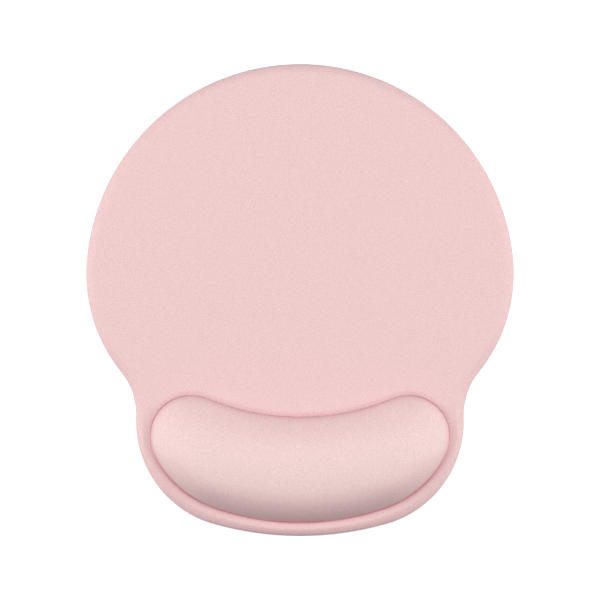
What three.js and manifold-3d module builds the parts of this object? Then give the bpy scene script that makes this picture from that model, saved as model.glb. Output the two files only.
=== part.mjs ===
// A mouse mat with a gel wrist rest built into its near edge, under one knit cover.
// The cover rolls over the rim of a foam pad and turns under it. A kidney-shaped gel pouch lies
// in a recess of the foam, and the cover is pressed down into a groove all round the pouch.
// Millimetres, +Z up, +Y away from the user; the origin is under the middle of the outline.
import * as THREE from "three";
import { mergeVertices } from "three/addons/utils/BufferGeometryUtils.js";
import Module from "manifold-3d";

const wasm = await Module();
wasm.setup();

// Outlines. Half of each is a row of tangent arcs, walked clockwise from the middle of its far
// side: [radius, turn in degrees], where a negative turn is hollow. One more arc closes the half.
const MAT_FAR_Y = 125;
const MAT_ARCS = [
  [113.4, 86], // round mouse area
  [82, 43], // shoulder
  [37, -41], // neck
  [56.4, 76], // corner beside the rest
];
const MAT_STEP = 7; // degrees of turn from one outline point to the next
const REST_FAR_Y = -61;
const REST_ARCS = [
  [128, -22.5], // hollow far side
  [22.3, 140], // round end
  [58, 42.5], // flank
];
const REST_STEP = 9;

// Heights above the table.
const BASE_TOP = 1;
const COVER_LOW = 1.2; // underside of the turned-under cover, on the adhesive
const GROOVE_FLOOR = 4;
const PAD_TOP = 5;
const REST_TOP = 22;

// Thicknesses, and the gap between curved faces that touch on the real mat.
const FABRIC = 0.7;
const FILM = 0.3;
const POUCH = 0.4;
const GAP = 0.3;

// The rim and the groove.
const ROLL_WIDTH = 5; // the rolled rim is a quarter ellipse
const ROLL_HEIGHT = 3.1;
const ROLL_STEPS = 4;
const TURN_UNDER = 9; // how far the cover reaches in below the foam
const GROOVE_WIDTH = 1.6;
const FILM_EDGE = 5.5; // the film stops short of the rolled rim
const BASE_EDGE = 3;
const ADHESIVE_EDGE = 3.5;

// The crest of the rest is an arc between its round ends.
const CREST_HALF = 47.5;
const CREST_Y = -87.8;
const CREST_RISE = 4.9; // how much farther from the user the ends lie than the middle
const CREST_SHARE = 0.92; // share of the way to the crest at which the nearly flat top begins
// How full the slopes are, at the top and at the foot, where 2 and 2 would be an ellipse.
const FAR_SLOPE = [2.1, 1.31];
const NEAR_SLOPE = [2.8, 1.25]; // flat on top, then steep all the way down
const END_SLOPE = [1.62, 1.47];
const DOME_STEPS = 6;

const MARGIN = 1; // how far a cutting body runs past what it cuts

// Half an outline. An inset draws it in: every turn stays, and only the radii change.
function halfOutline(farY, arcs, stepDegrees, inset) {
  const points = [new THREE.Vector2(0, farY - inset)];
  const step = THREE.MathUtils.degToRad(stepDegrees);
  let heading = 0;
  const walk = (radius, turn) => {
    const from = points.at(-1);
    const side = Math.sign(turn);
    const steps = Math.ceil(Math.abs(turn) / step);
    for (let i = 1; i <= steps; i += 1) {
      const next = heading - (turn * i) / steps;
      const x = from.x + side * radius * (Math.sin(heading) - Math.sin(next));
      const y = from.y + side * radius * (Math.cos(next) - Math.cos(heading));
      points.push(new THREE.Vector2(x, y));
    }
    heading -= turn;
  };
  for (const [radius, degrees] of arcs) {
    walk(radius - Math.sign(degrees) * inset, THREE.MathUtils.degToRad(degrees));
  }
  const lastTurn = Math.PI + heading;
  walk(points.at(-1).x / Math.sin(lastTurn), lastTurn);
  return points;
}

// A whole outline, anticlockwise as seen from above.
function outline(farY, arcs, stepDegrees, inset) {
  const right = halfOutline(farY, arcs, stepDegrees, inset);
  const left = right.slice(1, -1).map((point) => new THREE.Vector2(-point.x, point.y));
  return [...right.reverse(), ...left];
}

const matOutline = (inset) => outline(MAT_FAR_Y, MAT_ARCS, MAT_STEP, inset);
const restOutline = (inset) => outline(REST_FAR_Y, REST_ARCS, REST_STEP, inset);

// A flat piece with upright sides.
function flatPiece(points, low, high) {
  const options = { depth: high - low, bevelEnabled: false };
  return new THREE.ExtrudeGeometry(new THREE.Shape(points), options).translate(0, 0, low);
}

const level = (points, z) => ({ points, heights: points.map(() => z) });

// A closed body through rings with equally many points, from the lowest to the highest. Each
// point of a ring has its own height.
function loft(rings) {
  const count = rings[0].points.length;
  const top = (rings.length - 1) * count;
  const cap = (ring) => THREE.ShapeUtils.triangulateShape(ring.points, []);
  const faces = cap(rings[0]).map(([a, b, c]) => [c, b, a]);
  for (let low = 0; low < top; low += count) {
    for (let i = 0; i < count; i += 1) {
      const next = (i + 1) % count;
      faces.push([low + i, low + next, low + count + next]);
      faces.push([low + i, low + count + next, low + count + i]);
    }
  }
  faces.push(...cap(rings.at(-1)).map((face) => face.map((i) => i + top)));
  const positions = rings.flatMap(({ points, heights }) =>
    points.flatMap((point, i) => [point.x, point.y, heights[i]]),
  );
  const geometry = new THREE.BufferGeometry();
  geometry.setAttribute("position", new THREE.Float32BufferAttribute(positions, 3));
  return geometry.setIndex(faces.flat());
}

// The pad with its rolled rim, drawn in all round and on top; foot rings are [inset, height].
function padForm(inset, foot) {
  const rings = foot.map(([edge, z]) => level(matOutline(edge), z));
  for (let i = 0; i <= ROLL_STEPS; i += 1) {
    const angle = (Math.PI / 2) * (i / ROLL_STEPS);
    const edge = ROLL_WIDTH - (ROLL_WIDTH - inset) * Math.cos(angle);
    const z = PAD_TOP - ROLL_HEIGHT + (ROLL_HEIGHT - inset) * Math.sin(angle);
    rings.push(level(matOutline(edge), z));
  }
  return loft(rings);
}

// The nearest point of the crest line for a point of the rest's outline.
function crestPoint({ x }) {
  const radius = (CREST_HALF ** 2 + CREST_RISE ** 2) / (2 * CREST_RISE);
  const along = THREE.MathUtils.clamp(x, -CREST_HALF, CREST_HALF);
  return new THREE.Vector2(along, CREST_Y + radius - Math.sqrt(radius ** 2 - along ** 2));
}

// The fullness of the slope at each point of an outline: a blend by the way the point faces.
function slopesOf(foot) {
  return foot.map((point, i) => {
    const before = foot.at(i - 1);
    const after = foot[(i + 1) % foot.length];
    const facing = (before.x - after.x) / before.distanceTo(after);
    const side = facing > 0 ? FAR_SLOPE : NEAR_SLOPE;
    return END_SLOPE.map((end, k) => THREE.MathUtils.lerp(end, side[k], facing ** 2));
  });
}

// The rest, drawn in all round and on top: upright up to the groove's floor, then rounded over.
function restForm(inset, low) {
  const foot = restOutline(inset);
  const slopes = slopesOf(foot);
  const height = REST_TOP - inset - GROOVE_FLOOR;
  const rise = (share, [top, bottom]) => (1 - (1 - share) ** top) ** (1 / bottom);
  const rings = [level(foot, low)];
  for (let i = 0; i <= DOME_STEPS; i += 1) {
    const share = CREST_SHARE * (1 - Math.cos((Math.PI / 2) * (i / DOME_STEPS)));
    const points = foot.map((point) => point.clone().lerp(crestPoint(point), share));
    const heights = slopes.map(
      (slope) => GROOVE_FLOOR + (height * rise(share, slope)) / rise(CREST_SHARE, slope),
    );
    rings.push({ points, heights });
  }
  return loft(rings);
}

// The groove and the recess that it surrounds, widened by a reach and sunk to a floor.
function wellForm(reach, floor) {
  return flatPiece(restOutline(-GROOVE_WIDTH - reach), floor, PAD_TOP + MARGIN);
}

function solidOf(geometry) {
  const bare = geometry.clone();
  bare.deleteAttribute("normal");
  bare.deleteAttribute("uv");
  const merged = mergeVertices(bare);
  const vertProperties = merged.attributes.position.array;
  const triVerts = Uint32Array.from(merged.index.array);
  return new wasm.Manifold(new wasm.Mesh({ numProp: 3, vertProperties, triVerts }));
}

function geometryOf(solid) {
  const mesh = solid.getMesh();
  const geometry = new THREE.BufferGeometry();
  geometry.setAttribute("position", new THREE.BufferAttribute(mesh.vertProperties, 3));
  geometry.setIndex(new THREE.BufferAttribute(mesh.triVerts, 1));
  return geometry;
}

// A pad form with the well sunk into it and the rest standing in the well.
function raised(pad, well, rest) {
  return solidOf(pad).subtract(solidOf(well)).add(solidOf(rest));
}

// Knit cover: one sheet over the pad, down into the groove, over the rest and round the rim.
function coverFabric() {
  const foot = [
    [FABRIC, COVER_LOW],
    [FABRIC / 4, COVER_LOW + FABRIC / 4],
  ];
  const outer = raised(padForm(0, foot), wellForm(0, GROOVE_FLOOR), restForm(0, COVER_LOW + MARGIN));
  const inner = raised(
    padForm(FABRIC, []),
    wellForm(FABRIC, GROOVE_FLOOR - FABRIC),
    restForm(FABRIC, PAD_TOP - ROLL_HEIGHT + FILM),
  );
  const mouth = solidOf(flatPiece(matOutline(TURN_UNDER), 0, GROOVE_FLOOR - FABRIC - FILM));
  return geometryOf(outer.subtract(inner).subtract(mouth));
}

// Barrier film on the back of the cover; it follows the groove and the rest.
function coverFilm() {
  const side = FABRIC + GAP;
  const top = PAD_TOP - FABRIC;
  const floor = GROOVE_FLOOR - FABRIC;
  const low = COVER_LOW + MARGIN;
  const outer = raised(
    flatPiece(matOutline(FILM_EDGE), low, top),
    wellForm(side, floor),
    restForm(side, low),
  );
  const inner = raised(
    flatPiece(matOutline(FILM_EDGE - MARGIN), low - MARGIN, top - FILM),
    wellForm(side + FILM, floor - FILM),
    restForm(side + FILM, low - MARGIN),
  );
  return geometryOf(outer.subtract(inner));
}

// Foam pad: rolled rim, a recess for the gel pouch, and a plug that fills the turned-under cover.
function padFoam() {
  const inset = FABRIC + FILM;
  const plug = flatPiece(matOutline(TURN_UNDER + GAP), COVER_LOW, COVER_LOW + FABRIC + MARGIN);
  const well = wellForm(inset + 2 * GAP, GROOVE_FLOOR - inset);
  return geometryOf(solidOf(padForm(inset, [])).add(solidOf(plug)).subtract(solidOf(well)));
}

const POUCH_EDGE = FABRIC + FILM + 2 * GAP;
const POUCH_LOW = GROOVE_FLOOR - FABRIC - FILM;

// Gel pouch: a flat lower film, a domed upper film, and the gel between them.
const gelPouchBase = () => flatPiece(restOutline(POUCH_EDGE), POUCH_LOW, POUCH_LOW + FILM);

function gelPouchTop() {
  const outer = solidOf(restForm(POUCH_EDGE, POUCH_LOW + FILM));
  return geometryOf(outer.subtract(solidOf(restForm(POUCH_EDGE + POUCH, POUCH_LOW))));
}

const restGelCore = () => restForm(POUCH_EDGE + POUCH + GAP, POUCH_LOW + FILM);

// Under the foam: an adhesive sheet, and the non-slip base that the mat stands on.
const baseAdhesive = () => flatPiece(matOutline(ADHESIVE_EDGE), BASE_TOP, COVER_LOW);
const baseSheet = () => flatPiece(matOutline(BASE_EDGE), 0, BASE_TOP);

const PIECES = [
  ["cover_fabric", coverFabric, { color: "#efcdce", roughness: 0.9 }],
  ["cover_film", coverFilm, { color: "#f4e6e2", roughness: 0.35 }],
  ["pad_foam", padFoam, { color: "#f3ece4", roughness: 0.95 }],
  ["gel_pouch_base", gelPouchBase, { color: "#e9eef0", roughness: 0.25 }],
  ["gel_pouch_top", gelPouchTop, { color: "#e4ebee", roughness: 0.25 }],
  ["rest_gel_core", restGelCore, { color: "#dfe9ec", roughness: 0.15 }],
  ["base_adhesive", baseAdhesive, { color: "#efe3c4", roughness: 0.3 }],
  ["base_sheet", baseSheet, { color: "#d9a9ad", roughness: 0.75 }],
];

const wristRestMat = new THREE.Group();
for (const [name, shape, look] of PIECES) {
  const material = new THREE.MeshStandardMaterial({ metalness: 0, ...look });
  const mesh = new THREE.Mesh(shape(), material);
  mesh.name = name;
  wristRestMat.add(mesh);
}

export default wristRestMat;
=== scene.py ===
"""A round mouse mat with a gel wrist rest, laid flat on a white table and seen from straight above.

The sections follow the mat as it is laid up, from the non-slip base to the knit cover.
Lengths are in metres, in the frame's own axes: +Z up, +Y away from the user.
"""

import math

import bmesh
import bpy
import numpy as np
from mathutils import Matrix, Vector
from mathutils.kdtree import KDTree


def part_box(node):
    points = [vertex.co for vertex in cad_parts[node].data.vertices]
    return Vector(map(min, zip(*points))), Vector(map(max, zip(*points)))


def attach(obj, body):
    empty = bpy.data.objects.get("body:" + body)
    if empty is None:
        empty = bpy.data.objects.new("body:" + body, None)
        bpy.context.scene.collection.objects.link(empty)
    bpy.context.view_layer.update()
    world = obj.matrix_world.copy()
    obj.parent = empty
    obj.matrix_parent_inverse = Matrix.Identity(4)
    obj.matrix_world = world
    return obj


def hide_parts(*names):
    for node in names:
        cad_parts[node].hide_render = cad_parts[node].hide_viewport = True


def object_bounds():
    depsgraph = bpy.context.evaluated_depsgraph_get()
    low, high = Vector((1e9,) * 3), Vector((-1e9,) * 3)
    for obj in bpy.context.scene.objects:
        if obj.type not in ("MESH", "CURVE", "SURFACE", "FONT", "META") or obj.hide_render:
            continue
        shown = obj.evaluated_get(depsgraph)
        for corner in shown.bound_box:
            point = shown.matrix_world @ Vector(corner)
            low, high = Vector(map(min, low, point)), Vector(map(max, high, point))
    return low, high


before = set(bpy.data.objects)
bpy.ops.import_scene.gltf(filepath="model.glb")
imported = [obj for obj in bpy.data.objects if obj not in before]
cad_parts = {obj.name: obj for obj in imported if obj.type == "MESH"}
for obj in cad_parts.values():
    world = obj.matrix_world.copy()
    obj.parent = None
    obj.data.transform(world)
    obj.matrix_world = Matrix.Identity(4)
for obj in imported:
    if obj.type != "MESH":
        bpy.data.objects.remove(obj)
cad_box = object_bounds()
MM = 0.001


# ---------------------------------------------------------------- non-slip base
# A sheet of foamed polyurethane, cast on a textured belt that leaves low six-sided studs on its
# underside. It is cut a little smaller than the mat, so that it doesn't show from above.

# Half the mat's outline as tangent arcs, clockwise from the middle of its far side:
# radius in millimetres and turn in degrees, negative where it is hollow. A last arc closes it.
MAT_ARCS = ((113.4, 86), (82, 43), (37, -41), (56.4, 76))
BASE_EDGE = 3 * MM  # from the mat's edge to the base's
BASE_POINTS = 180  # on each half of its outline
BASE_BEVEL = 0.25 * MM
STUD_PITCH = 4.2 * MM
STUD_RADIUS = 1.6 * MM
STUD_TIP = 1.25 * MM  # radius of a stud where it touches the table
STUD_HEIGHT = 0.35 * MM
STUD_MARGIN = 3 * MM  # from the base's edge to the middle of the outermost studs
BASE_PINK = "c4898f"
BASE_PINK_LIGHT = "d3a0a4"
BASE_BLOTCH = 16.7 * MM
BASE_CELL = 0.4 * MM


def half_outline(far_y, arcs):
    """Half an outline, as a start, a heading, a signed radius and a length for each arc."""
    point, heading, pieces = Vector((0, far_y)), 0.0, []
    for radius, degrees in (*arcs, (0, 0)):
        turn = math.radians(degrees) if degrees else math.pi + heading
        radius = math.copysign(radius * MM, turn) if radius else point.x / math.sin(turn)
        pieces.append((point, heading, radius, radius * turn))
        point = walk(pieces[-1], radius * turn)[0]
        heading -= turn
    return pieces


def walk(piece, distance):
    """The point at a distance along one arc, and the outward normal there."""
    start, heading, radius, _ = piece
    now = heading - distance / radius
    step = Vector((math.sin(heading) - math.sin(now), math.cos(now) - math.cos(heading)))
    return start + radius * step, Vector((-math.sin(now), math.cos(now)))


def length_of(pieces):
    """The length of a half outline."""
    return sum(piece[3] for piece in pieces)


def spot(pieces, distance, inset=0.0):
    """The point of a half outline at a distance from its start, drawn in by an inset."""
    for piece in pieces:
        if distance <= piece[3] or piece is pieces[-1]:
            point, normal = walk(piece, distance)
            return point - inset * normal
        distance -= piece[3]


def ring(points, height):
    """A closed ring at a height, from the points of its right half, far side first."""
    left = [(-point.x, point.y) for point in reversed(points[1:-1])]
    return [Vector((x, y, height)) for x, y in (*points, *left)]


def lofted(rings):
    """A tube of faces through rings of equally many points: a grid, rolled up and welded."""
    bm = bmesh.new()
    rows, columns = len(rings) - 1, len(rings[0])
    bmesh.ops.create_grid(bm, x_segments=columns, y_segments=rows, size=0.5)
    for vert in bm.verts:
        column = round((vert.co.x + 0.5) * columns) % columns
        vert.co = rings[round((vert.co.y + 0.5) * rows)][column]
    bmesh.ops.remove_doubles(bm, verts=bm.verts, dist=0.001 * MM)
    return bm


def close_ends(bm):
    """Fills both open ends of a tube, and turns its faces outwards."""
    bmesh.ops.edgeloop_fill(bm, edges=[edge for edge in bm.edges if edge.is_boundary])
    bmesh.ops.recalc_face_normals(bm, faces=bm.faces)
    return bm


def piece_from(bm, name, smooth=True):
    """A mesh object at the origin, made from a bmesh."""
    mesh = bpy.data.meshes.new(name)
    bm.to_mesh(mesh)
    bm.free()
    mesh.polygons.foreach_set("use_smooth", [smooth] * len(mesh.polygons))
    piece = bpy.data.objects.new(name, mesh)
    bpy.context.scene.collection.objects.link(piece)
    return piece


def linear(hex_colour):
    """An sRGB hex value as linear red, green, blue and alpha."""
    shares = [int(hex_colour[i : i + 2], 16) / 255 for i in (0, 2, 4)]
    return (*(c / 12.92 if c <= 0.04045 else ((c + 0.055) / 1.055) ** 2.4 for c in shares), 1.0)


def add(tree, kind, inputs, **settings):
    """A node with its settings; inputs are values, or the output sockets that feed them."""
    node = tree.nodes.new("ShaderNode" + kind)
    for name, value in settings.items():
        setattr(node, name, value)
    for name, value in inputs.items():
        if isinstance(value, bpy.types.NodeSocket):
            tree.links.new(value, node.inputs[name])
        else:
            node.inputs[name].default_value = value
    return node


def new_material(name, **shader):
    """A material with a principled shader, its node tree and its object coordinates."""
    material = bpy.data.materials.new(name)
    material.use_nodes = True
    tree = material.node_tree
    surface = tree.nodes["Principled BSDF"]
    for socket, value in shader.items():
        surface.inputs[socket.replace("_", " ")].default_value = value
    place = add(tree, "TexCoord", {}).outputs["Object"]
    return material, tree, surface, place


def cast_polyurethane():
    """Foamed polyurethane, belt-cast: dull pink, a little paler where the belt rubbed it."""
    material, tree, surface, place = new_material(
        "cast_polyurethane", Roughness=0.62, Specular_IOR_Level=0.4
    )
    blotches = add(tree, "TexNoise", {"Vector": place, "Scale": 1 / BASE_BLOTCH, "Detail": 3.0})
    colour = add(
        tree,
        "Mix",
        {0: blotches.outputs["Fac"], 6: linear(BASE_PINK), 7: linear(BASE_PINK_LIGHT)},
        data_type="RGBA",
    )
    tree.links.new(colour.outputs[2], surface.inputs["Base Color"])
    # Foam cells of about 0.1 mm, drawn at 0.4 mm so that they show.
    cells = add(tree, "TexNoise", {"Vector": place, "Scale": 1 / BASE_CELL, "Detail": 2.0})
    bump = add(
        tree, "Bump", {"Height": cells.outputs["Fac"], "Strength": 0.35, "Distance": 0.1 * MM}
    )
    tree.links.new(bump.outputs["Normal"], surface.inputs["Normal"])
    return material


base_low, base_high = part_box("base_sheet")
cover_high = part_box("cover_fabric")[1]
mat_half = half_outline(cover_high.y, MAT_ARCS)
mat_length = length_of(mat_half)
base_right = [
    spot(mat_half, mat_length * i / BASE_POINTS, BASE_EDGE) for i in range(BASE_POINTS + 1)
]
slab = close_ends(
    lofted([ring(base_right, base_low.z + STUD_HEIGHT), ring(base_right, base_high.z)])
)
# Its long edges lie between a wall's face, with four corners, and an end's, with many.
long_edges = [e for e in slab.edges if len({len(face.verts) for face in e.link_faces}) == 2]
bmesh.ops.bevel(
    slab, geom=long_edges, offset=BASE_BEVEL, segments=2, profile=0.5, affect="EDGES", material=-1
)
row_step = STUD_PITCH * math.sin(math.radians(60))
edge_ys = [point.y for point in reversed(base_right)]
edge_xs = [point.x for point in reversed(base_right)]
rows = int((base_high.y - base_low.y - 2 * STUD_MARGIN) / row_step)
for row in range(rows + 1):
    y = base_low.y + STUD_MARGIN + row * row_step
    reach = float(np.interp(y, edge_ys, edge_xs)) - STUD_MARGIN
    shift = STUD_PITCH / 2 * (row % 2)
    for column in range(-int(reach / STUD_PITCH) - 1, int(reach / STUD_PITCH) + 2):
        x = column * STUD_PITCH + shift
        if abs(x) <= reach:
            centre = Vector((x, y, base_low.z + STUD_HEIGHT / 2))
            bmesh.ops.create_cone(
                slab,
                cap_ends=True,
                segments=6,
                radius1=STUD_TIP,
                radius2=STUD_RADIUS,
                depth=STUD_HEIGHT,
                matrix=Matrix.Translation(centre),
            )
base = piece_from(slab, "moulded_base", smooth=False)
base.data.materials.append(cast_polyurethane())
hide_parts("base_sheet")
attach(base, "root")


# ---------------------------------------------------------------- adhesive sheet
# A pressure-sensitive film that holds the base to the foam and to the turned-under cover.
# It was rolled on, so it is clear amber with faint streaks.
ADHESIVE_PALE = "efe3c4"
ADHESIVE_DEEP = "e2cf9f"
STREAK_WIDTH = 2.5 * MM
STREAK_LENGTH = 40 * MM


def dress(node_name, material):
    """Gives a CAD node its finish."""
    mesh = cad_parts[node_name].data
    mesh.materials.clear()
    mesh.materials.append(material)


def rolled_adhesive():
    """Acrylic adhesive, rolled on: glossy, with streaks along the roll."""
    material, tree, surface, place = new_material(
        "rolled_adhesive", Roughness=0.3, Alpha=0.9, IOR=1.47
    )
    streak_scale = (1 / STREAK_WIDTH, 1 / STREAK_LENGTH, 1 / STREAK_LENGTH)
    drawn_out = add(tree, "Mapping", {"Vector": place, "Scale": streak_scale})
    streaks = add(tree, "TexNoise", {"Vector": drawn_out.outputs["Vector"], "Scale": 1.0})
    colour = add(
        tree,
        "Mix",
        {0: streaks.outputs["Fac"], 6: linear(ADHESIVE_PALE), 7: linear(ADHESIVE_DEEP)},
        data_type="RGBA",
    )
    tree.links.new(colour.outputs[2], surface.inputs["Base Color"])
    return material


dress("base_adhesive", rolled_adhesive())


# ---------------------------------------------------------------- foam pad
# Open-cell polyurethane foam, slit from a block, pressed hot so that its rim is rounded and
# the gel pouch has a recess to lie in.
FOAM_CREAM = "f3ece4"
FOAM_PIT_SHADE = "d9cdc0"
FOAM_CELL = 0.5 * MM


def open_cell_foam():
    """Polyurethane foam, slit: cream, dull, and pitted all over with open cells. Painted shade
    darkens the pits.
    """
    material, tree, surface, place = new_material("open_cell_foam", Roughness=0.95)
    cells = add(tree, "TexVoronoi", {"Vector": place, "Scale": 1 / FOAM_CELL})
    # Painted shade: the darker cream sits at the middle of each cell, where the bump makes a pit.
    colour = add(
        tree,
        "Mix",
        {0: cells.outputs["Distance"], 6: linear(FOAM_PIT_SHADE), 7: linear(FOAM_CREAM)},
        data_type="RGBA",
    )
    tree.links.new(colour.outputs[2], surface.inputs["Base Color"])
    bump = add(
        tree, "Bump", {"Height": cells.outputs["Distance"], "Strength": 0.6, "Distance": 0.2 * MM}
    )
    tree.links.new(bump.outputs["Normal"], surface.inputs["Normal"])
    return material


dress("pad_foam", open_cell_foam())


# ---------------------------------------------------------------- gel pouch
# Two blown films of clear polyurethane, welded round the edge and filled with soft gel.
# The gel is poured, so it is clear and holds a few faint clouds.
FILM_CLEAR = "e6edf0"
FILM_HAZE = "d5dfe3"
FILM_CLOUD = 8 * MM
GEL_CLEAR = "dfe9ec"
GEL_HAZE = "c9dade"
GEL_CLOUD = 20 * MM


def clouded(name, pale, deep, grain, **shader):
    """A smooth clear plastic or gel, with faint clouds in its colour."""
    material, tree, surface, place = new_material(name, **shader)
    clouds = add(tree, "TexNoise", {"Vector": place, "Scale": 1 / grain, "Detail": 2.0})
    colour = add(
        tree, "Mix", {0: clouds.outputs["Fac"], 6: linear(pale), 7: linear(deep)}, data_type="RGBA"
    )
    tree.links.new(colour.outputs[2], surface.inputs["Base Color"])
    return material


# Blown film sets in the air, so it has a smooth gloss and a faint haze.
blown_film = clouded("blown_film", FILM_CLEAR, FILM_HAZE, FILM_CLOUD, Roughness=0.18, IOR=1.5)
dress("gel_pouch_base", blown_film)
dress("gel_pouch_top", blown_film)
# Poured gel takes the film's smoothness, so it looks wet.
poured_gel = clouded("poured_gel", GEL_CLEAR, GEL_HAZE, GEL_CLOUD, Roughness=0.08, IOR=1.41)
dress("rest_gel_core", poured_gel)


# ---------------------------------------------------------------- barrier film
# A milky polyurethane film on the back of the knit, bonded by heat in the mould that shapes
# the cover. It keeps sweat out of the foam.
BARRIER_MILKY = "f4e6e2"
BARRIER_PINK = "ecd3d0"
BARRIER_PATCH = 3 * MM

# Bonded to a knit, the film is half matt and shows the pink yarn in patches.
bonded_film = clouded(
    "bonded_film", BARRIER_MILKY, BARRIER_PINK, BARRIER_PATCH, Roughness=0.35, IOR=1.5
)
dress("cover_film", bonded_film)


# ---------------------------------------------------------------- knit cover, on the pad
# Stretch knit of nylon and elastane, moulded hot: flat over the mouse area, pressed into a
# groove round the rest, rolled over the rim and turned under the foam.

# Half the rest's outline as tangent arcs, like the mat's.
REST_ARCS = ((128, -22.5), (22.3, 140), (58, 42.5))
REST_FAR = 186 * MM  # from the mat's far edge to the middle of the rest's far side
REST_RISE = 17 * MM  # from the mouse surface to the crest of the rest
SPOKES = 260  # lines of the mesh that run from the mat's edge to the rest, in each half
# Places on the rest's half outline and on the mat's that lie opposite each other, in millimetres.
OPPOSITE = ((0, 0), (50, 165), (59, 195), (76.6, 240), (94.1, 268), (104.8, 284), (147.8, 333))
CLOTH = 0.7 * MM
COVER_LOW = 1.2 * MM  # height of the turned-under edge over the table
TURN_UNDER = 9 * MM
FOOT_RADIUS = 0.7 * MM
ROLL_WIDTH = 5 * MM
ROLL_FULLNESS = 1.45  # 2 would be a quarter ellipse, and 1 a straight slope
LIP_WIDTH = 3 * MM
# Where the rim is narrow, beside the rest, the roll and the lip take no more than these shares.
ROLL_SHARE = 0.56
LIP_SHARE = 0.34
# Rows of the mesh along the cover's profile, from the foot to the lip.
FOOT_STEPS = 4
ROLL_STEPS = 10
FLAT_STEPS = 14
LIP_STEPS = 9
# Each of these pairs holds a value for the far side of the rest and one for its near side. The lip
# sweeps up to the rest on the far side, and dips into a groove on the near side.
NEAR_SIDE = (-75 * MM, -105 * MM)  # Y where the far side's shape ends and the near side's begins
LIP_END = (0.4 * MM, -1.3 * MM)  # height of the lip's end over the pad
LIP_LAP = (0.7 * MM, 0.6 * MM)  # how far the lip runs in below the cover of the rest
CREASE_SHADE_REACH = (3.2 * MM, 1.8 * MM)  # how far from the groove's floor its painted shade, a deeper pink, fades out
CREASE_SHADE_AT_FLOOR = (0.36, 1.0)  # how much of the painted crease shade there is at the floor
# A little of the deeper pink is also painted on as shade on the slopes that face the user or face
# away. The rest has more of it, and its slopes lose it towards the crest.
RIM_SLOPE_SHADE = 0.12
SLOPE_SHADE_TOP = 20.5 * MM
SLOPE_SHADE_FADE = 4 * MM
SLOPE_SHADE_FAR = 0.35  # share of the painted slope shade on slopes that face away
SLOPE_SHADE_TILT = 0.3  # sine of a slope; where the cloth lies flatter there is less painted shade
KNIT_PINK = "e4c2c3"
KNIT_STRETCHED = "e6cbc9"
# Deeper pink painted on as shade: in the groove round the rest, and on the slopes that face the user
# or face away.
PAINTED_SHADE_PINK = "bf6f84"
STRETCH_FULL = 6 * MM  # height over the pad where the knit is stretched to its palest
STITCH = 0.7 * MM
STITCH_SHADE = 0.2  # how much lighter or darker a stitch is drawn: uneven dye, and painted shade on the low stitches
STITCH_RELIEF = 6.0  # how far a stitch stands out, where a rib stands out by 1
WALE = 1.35 * MM
COURSE = 1.1 * MM

crest_z = cover_high.z
pad_top = crest_z - REST_RISE


def moulded_knit(name):
    """Nylon and elastane knit, moulded: matt and soft, with fine upright ribs. It pales where it
    is stretched over the rest. A deeper pink is painted on as shade in the groove and on the
    slopes that face the user or face away."""
    material, tree, surface, place = new_material(
        name,
        Roughness=0.85,
        Specular_IOR_Level=0.25,
        Sheen_Weight=0.12,
        Sheen_Roughness=0.45,
    )
    axes = add(tree, "SeparateXYZ", {"Vector": place}).outputs
    stretched = add(
        tree,
        "MapRange",
        {"Value": axes["Z"], "From Min": pad_top, "From Max": pad_top + STRETCH_FULL},
        interpolation_type="SMOOTHSTEP",
    )
    colour = add(
        tree,
        "Mix",
        {0: stretched.outputs["Result"], 6: linear(KNIT_PINK), 7: linear(KNIT_STRETCHED)},
        data_type="RGBA",
    )
    # Painted shade: the deeper pink, laid on by the stored attribute in the groove and on the slopes
    # that face the user or face away.
    painted_shade = add(tree, "Attribute", {}, attribute_name="painted_shade")
    painted_shade_colour = add(
        tree,
        "Mix",
        {0: painted_shade.outputs["Fac"], 6: colour.outputs[2], 7: linear(PAINTED_SHADE_PINK)},
        data_type="RGBA",
    )
    # The yarn takes the dye unevenly, stitch by stitch, and the same noise sets the stitches' relief,
    # so low stitches are darker: that part is painted shade. Stitches are about 0.35 mm wide, and are
    # drawn 0.7 mm wide so that they show.
    stitches = add(tree, "TexNoise", {"Vector": place, "Scale": 1 / STITCH, "Detail": 1.0})
    shade = add(
        tree,
        "MapRange",
        {"Value": stitches.outputs["Fac"], "To Min": 1 - STITCH_SHADE, "To Max": 1 + STITCH_SHADE},
    )
    dye_and_painted_shade = add(
        tree,
        "VectorMath",
        {0: painted_shade_colour.outputs[2], "Scale": shade.outputs["Result"]},
        operation="SCALE",
    )
    tree.links.new(dye_and_painted_shade.outputs["Vector"], surface.inputs["Base Color"])
    # Ribs of stitches run along Y, about 0.45 mm apart, and rows of them along X, about 0.37 mm
    # apart. Both are drawn three times coarser so that they show.
    heights = []
    for axis, spacing in (("X", WALE), ("Y", COURSE)):
        turns = add(
            tree, "Math", {0: axes[axis], 1: 2 * math.pi / spacing}, operation="MULTIPLY"
        )
        heights.append(add(tree, "Math", {0: turns.outputs[0]}, operation="SINE").outputs[0])
    woven = add(tree, "Math", {0: heights[0], 1: heights[1]}, operation="ADD")
    relief = add(
        tree,
        "Math",
        {0: stitches.outputs["Fac"], 1: STITCH_RELIEF, 2: woven.outputs[0]},
        operation="MULTIPLY_ADD",
    )
    bump = add(
        tree, "Bump", {"Height": relief.outputs[0], "Strength": 0.25, "Distance": 0.05 * MM}
    )
    tree.links.new(bump.outputs["Normal"], surface.inputs["Normal"])
    return material


def nearness(y):
    """How far towards the near side of the rest a place is: from 0 to 1."""
    return np.clip((y - NEAR_SIDE[0]) / (NEAR_SIDE[1] - NEAR_SIDE[0]), 0, 1)


def blend(pair, y):
    """A value between those for the far and the near side of the rest."""
    return pair[0] + (pair[1] - pair[0]) * nearness(y)


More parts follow.
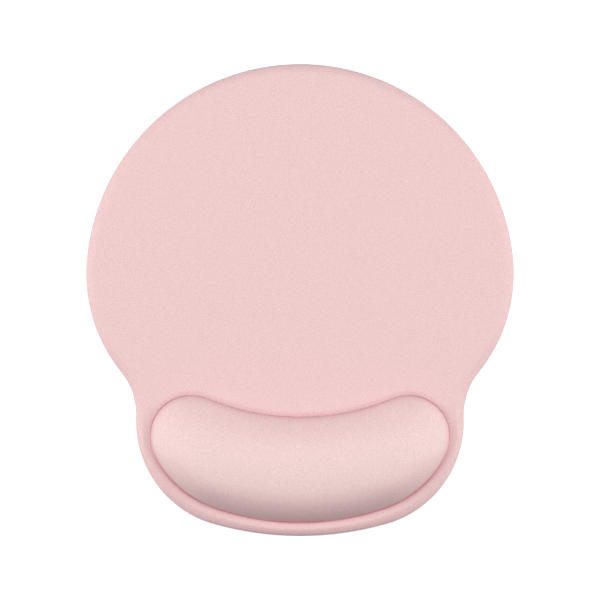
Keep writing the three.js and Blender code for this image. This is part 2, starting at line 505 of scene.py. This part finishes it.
def mark_painted_shade(piece, slope_shade):
    """Stores on each point how much painted shade, a deeper pink, it has, up to 1 at the groove's
    floor. The second argument is how much painted shade the slopes that face the user or face away
    get, away from the groove."""
    mesh = piece.data
    points = np.array([vert.co for vert in mesh.vertices])
    normals = np.array([vert.normal for vert in mesh.vertices])
    groove = KDTree(len(lip_rings[-1]))
    for i, point in enumerate(lip_rings[-1]):
        groove.insert(point, i)
    groove.balance()
    away = np.array([groove.find(point)[2] for point in points])
    reach, hard = (blend(pair, points[:, 1]) for pair in (CREASE_SHADE_REACH, CREASE_SHADE_AT_FLOOR))
    share = np.clip(1 - away / reach, 0, 1) * hard
    tilt = np.hypot(normals[:, 0], normals[:, 1])
    facing = normals[:, 1] / np.maximum(tilt, SLOPE_SHADE_TILT)
    left = np.clip((SLOPE_SHADE_TOP - points[:, 2]) / SLOPE_SHADE_FADE, 0, 1)
    side = facing**2 * np.where(facing < 0, 1, SLOPE_SHADE_FAR)
    share = np.maximum(share, slope_shade * left * side)
    attribute = mesh.attributes.new("painted_shade", "FLOAT", "POINT")
    attribute.data.foreach_set("value", share.astype(np.float32))


def thicken(piece, thickness):
    """Gives a sheet its thickness on its inner side."""
    wall = piece.modifiers.new("thickness", "SOLIDIFY")
    wall.thickness = thickness
    wall.offset = -1


groove_floor = pad_top + LIP_END[1]
rest_half = half_outline(cover_high.y - REST_FAR, REST_ARCS)
rest_length = length_of(rest_half)
opposite = np.array(OPPOSITE + ((rest_length / MM, mat_length / MM),)) * MM
shares = (opposite / opposite[-1]).mean(axis=1)
# Each spoke as its distance along the rest's half outline and along the mat's.
spokes = [
    tuple(float(np.interp(i / SPOKES, shares, opposite[:, side])) for side in (0, 1))
    for i in range(SPOKES + 1)
]
rims = [
    (spot(mat_half, mat_at) - spot(rest_half, rest_at)).length for rest_at, mat_at in spokes
]


def mat_ring(insets, height):
    """The mat's outline, drawn in by an inset at each spoke."""
    return ring([spot(mat_half, at, inset) for (_, at), inset in zip(spokes, insets)], height)


def rest_ring(outsets, height):
    """The rest's outline, grown by an outset at each spoke."""
    return ring([spot(rest_half, at, -out) for (at, _), out in zip(spokes, outsets)], height)


def quarter(steps):
    """Sine and cosine of a quarter turn, step by step, both ends included."""
    angles = [math.radians(90) * step / steps for step in range(steps + 1)]
    return [(math.sin(angle), math.cos(angle)) for angle in angles]


roll_foot = COVER_LOW + FOOT_RADIUS
rolls = [min(ROLL_WIDTH, ROLL_SHARE * rim) for rim in rims]
lips = [min(LIP_WIDTH, LIP_SHARE * rim) for rim in rims]
rings = [mat_ring([inset] * len(rims), COVER_LOW) for inset in (TURN_UNDER, TURN_UNDER / 2)]
for sine, cosine in quarter(FOOT_STEPS)[:-1]:
    insets = [FOOT_RADIUS * (1 - sine)] * len(rims)
    rings.append(mat_ring(insets, COVER_LOW + FOOT_RADIUS * (1 - cosine)))
for _, cosine in quarter(ROLL_STEPS):
    insets = [roll * (1 - cosine) for roll in rolls]
    rise = (1 - cosine**ROLL_FULLNESS) ** (1 / ROLL_FULLNESS)
    rings.append(mat_ring(insets, roll_foot + (pad_top - roll_foot) * rise))
laps = [float(blend(LIP_LAP, spot(rest_half, at).y)) for at, _ in spokes]
lip_rings = []
for step in range(LIP_STEPS + 1):
    share = step / LIP_STEPS
    lip_ring = rest_ring([lip - (lip + lap) * share for lip, lap in zip(lips, laps)], pad_top)
    for point in lip_ring:
        point.z += blend(LIP_END, point.y) * share**2
    lip_rings.append(lip_ring)
roll_end = rings[-1]
for step in range(1, FLAT_STEPS):
    share = step / FLAT_STEPS
    rings.append([outer.lerp(inner, share) for outer, inner in zip(roll_end, lip_rings[0])])
sheet = lofted(rings + lip_rings)
bmesh.ops.reverse_faces(sheet, faces=sheet.faces)
pad_cover = piece_from(sheet, "pad_cover")
# Painted shade: a deeper pink in the groove, and a little on the rim's slopes that face the user or
# face away.
mark_painted_shade(pad_cover, RIM_SLOPE_SHADE)
thicken(pad_cover, CLOTH)
pad_cover.data.materials.append(moulded_knit("moulded_knit"))
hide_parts("cover_fabric")
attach(pad_cover, "root")


# ---------------------------------------------------------------- knit cover, on the rest
# The same sheet where it runs up out of the groove and over the gel pouch, which fills it tight.
# The gel presses it out from inside, so it stands steep at the groove and nearly flat on top.
# The crest is an arc that bends with the rest: half its width, how far its middle lies from the
# far side of the rest, and how far its ends sweep back, away from the user.
CREST_HALF = 47.5 * MM
CREST_FROM_FAR = 26.8 * MM
CREST_RISE = 4.9 * MM
# How full the slopes are, at the top and at the foot, where 2 and 2 would be an ellipse.
FAR_SLOPE = (2.3, 1.2)
NEAR_SLOPE = (2.8, 1.25)
END_SLOPE = (1.62, 1.47)
CREST_SHARE = 0.92  # share of the way to the crest that the rings reach, where a flat top closes them
DOME_STEPS = 16
FOOT_INSET = 0.05 * MM  # from the rest's outline to the foot of its cover
FOOT_DEPTH = 2.5 * MM  # how far the form goes on below the groove while it is pressed
START_SHARE = 0.97  # height of the cover before the gel presses it out
VOXEL = 2 * MM
GEL_PRESSURE = 80.0
PRESS_FRAMES = 20
HEM_DEPTH = 0.4 * MM  # how far the cover goes on below the groove once it is trimmed
# Painted slope shade on the rest, more than on the rim.
REST_SLOPE_SHADE = 0.22


def crest_point(point):
    """The place on the crest line that a point of the rest's outline faces."""
    radius = (CREST_HALF**2 + CREST_RISE**2) / (2 * CREST_RISE)
    along = max(-CREST_HALF, min(CREST_HALF, point.x))
    middle = rest_half[0][0].y - CREST_FROM_FAR
    return Vector((along, middle + radius - math.sqrt(radius**2 - along**2)))


def slope_height(share, before, after):
    """Height at a share of the way to the crest, from the outline's points on either side."""
    facing = (after - before).normalized().x
    side = FAR_SLOPE if facing > 0 else NEAR_SLOPE
    top, bottom = (end + (full - end) * facing**2 for end, full in zip(END_SLOPE, side))
    rises = [(1 - (1 - s) ** top) ** (1 / bottom) for s in (share, CREST_SHARE)]
    return rises[0] / rises[1]


def finished(piece):
    """A piece's mesh as its modifiers leave it, in place of the one it had."""
    graph = bpy.context.evaluated_depsgraph_get()
    mesh = bpy.data.meshes.new_from_object(piece.evaluated_get(graph))
    piece.modifiers.clear()
    piece.data = mesh
    return piece


foot = rest_ring([-FOOT_INSET] * len(rims), 0)
rings = [[Vector((p.x, p.y, groove_floor - FOOT_DEPTH)) for p in foot]]
dome = (crest_z - groove_floor) * START_SHARE
for _, cosine in quarter(DOME_STEPS):
    share = CREST_SHARE * (1 - cosine)
    heights = [
        dome * slope_height(share, before, after)
        for before, after in zip(foot[-1:] + foot[:-1], foot[1:] + foot[:1])
    ]
    rings.append(
        [
            Vector((*p.xy.lerp(crest_point(p), share), groove_floor + height))
            for p, height in zip(foot, heights)
        ]
    )
rest_cover = piece_from(close_ends(lofted(rings)), "rest_cover")
remesh = rest_cover.modifiers.new("even mesh", "REMESH")
remesh.mode = "VOXEL"
remesh.voxel_size = VOXEL
finished(rest_cover)
held = rest_cover.vertex_groups.new(name="held")
foot_top = groove_floor + VOXEL / 4
held.add([vert.index for vert in rest_cover.data.vertices if vert.co.z < foot_top], 1.0, "ADD")
cloth = rest_cover.modifiers.new("gel pressure", "CLOTH").settings
cloth.use_pressure = True
cloth.uniform_pressure_force = GEL_PRESSURE
cloth.effector_weights.gravity = 0
cloth.vertex_group_mass = held.name
for step in range(1, PRESS_FRAMES + 1):
    bpy.context.scene.frame_set(step)
finished(rest_cover)
bpy.context.scene.frame_set(1)

shell = bmesh.new()
shell.from_mesh(rest_cover.data)
# What the gel lacks in pressure is made up by stretching the cover to its full height.
full_height = crest_z - groove_floor
lift = full_height / (max(vert.co.z for vert in shell.verts) - groove_floor)
for vert in shell.verts:
    if vert.co.z > groove_floor:
        vert.co.z = groove_floor + (vert.co.z - groove_floor) * lift
bmesh.ops.bisect_plane(
    shell,
    geom=[*shell.verts, *shell.edges, *shell.faces],
    plane_co=(0, 0, groove_floor - HEM_DEPTH),
    plane_no=(0, 0, 1),
    clear_inner=True,
)
shell.to_mesh(rest_cover.data)
shell.free()
rest_cover.data.polygons.foreach_set("use_smooth", [True] * len(rest_cover.data.polygons))
# Painted shade: a deeper pink in the groove, and more of it on the rest's slopes that face the user
# or face away, fading towards the crest.
mark_painted_shade(rest_cover, REST_SLOPE_SHADE)
smooth = rest_cover.modifiers.new("fine mesh", "SUBSURF")
smooth.levels = smooth.render_levels = 1
thicken(rest_cover, CLOTH)
rest_cover.data.materials.clear()
rest_cover.data.materials.append(pad_cover.data.materials[0])
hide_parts("cover_fabric")
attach(rest_cover, "root")


# ---------------------------------------------------------------- table, light and camera
# A white table in a room with pale low walls and a dim ceiling, under four soft panels: a low one
# on each side, which catches the ends of the rest, one high on the far side and one overhead. The
# near slope is left in shade, and the camera looks straight down.
TABLE_WHITE = "ffffff"
TABLE_SIZE = 8.0
TABLE_GLOW = 0.3
MAT_SHARE = 0.7123  # of the picture's width that the mat fills
LENS = 100.0
SENSOR = 36.0
WALL_LIGHT = 0.7
CEILING_LIGHT = 0.1
WALL_TOP = (0.06, 0.12)  # sines of the heights where the walls begin to darken and where they end
# Name, bearing and height in degrees, distance, width and depth of each lit panel, and its watts.
PANELS = (
    ("left_panel", 180, 14, 1.3, (0.5, 1.2), 14.6),
    ("right_panel", 0, 14, 1.3, (0.5, 1.2), 14.2),
    ("far_panel", 90, 60, 1.5, (1.2, 0.9), 6.2),
    ("top_panel", 90, 90, 1.7, (1.2, 1.2), 13.3),
)


def lacquered_white():
    """White lacquer, rolled: even, almost without gloss, and a little brighter than paper."""
    return new_material(
        "lacquered_white",
        Base_Color=linear(TABLE_WHITE),
        Roughness=0.9,
        Specular_IOR_Level=0.1,
        Emission_Color=linear(TABLE_WHITE),
        Emission_Strength=TABLE_GLOW,
    )[0]


table_top = bmesh.new()
bmesh.ops.create_grid(table_top, x_segments=1, y_segments=1, size=TABLE_SIZE / 2)
table = piece_from(table_top, "table", smooth=False)
table.data.materials.append(lacquered_white())
table.visible_diffuse = False  # it is seen, but sends no light back up on to the mat

middle = (cad_box[0] + cad_box[1]) / 2
for name, bearing, height, distance, size, power in PANELS:
    panel = bpy.data.lights.new(name, "AREA")
    panel.shape = "RECTANGLE"
    panel.size, panel.size_y = size
    panel.energy = power
    lamp = bpy.data.objects.new(name, panel)
    across, up = (math.radians(angle) for angle in (bearing, height))
    lamp.location = distance * Vector(
        (math.cos(up) * math.cos(across), math.cos(up) * math.sin(across), math.sin(up))
    )
    lamp.rotation_euler = (middle - lamp.location).to_track_quat("-Z", "Y").to_euler()
    bpy.context.scene.collection.objects.link(lamp)

room = bpy.data.worlds.new("room")
room.use_nodes = True
toward = add(room.node_tree, "TexCoord", {}).outputs["Generated"]
climb = add(room.node_tree, "SeparateXYZ", {"Vector": toward}).outputs["Z"]
off_level = add(room.node_tree, "Math", {0: climb}, operation="ABSOLUTE").outputs[0]
room_light = add(
    room.node_tree,
    "MapRange",
    {
        "Value": off_level,
        "From Min": WALL_TOP[0],
        "From Max": WALL_TOP[1],
        "To Min": WALL_LIGHT,
        "To Max": CEILING_LIGHT,
    },
    interpolation_type="SMOOTHSTEP",
)
walls = room.node_tree.nodes["Background"]
walls.inputs["Color"].default_value = (1, 1, 1, 1)
room.node_tree.links.new(room_light.outputs["Result"], walls.inputs["Strength"])
bpy.context.scene.world = room
bpy.context.scene.view_settings.view_transform = "Standard"

eye = bpy.data.cameras.new("camera")
eye.lens = LENS
eye.sensor_width = SENSOR
eye.clip_end = 20.0
camera = bpy.data.objects.new("camera", eye)
mat_width = cad_box[1].x - cad_box[0].x
camera.location = (middle.x, middle.y, roll_foot + mat_width / MAT_SHARE * LENS / SENSOR)
bpy.context.scene.collection.objects.link(camera)
bpy.context.scene.camera = camera
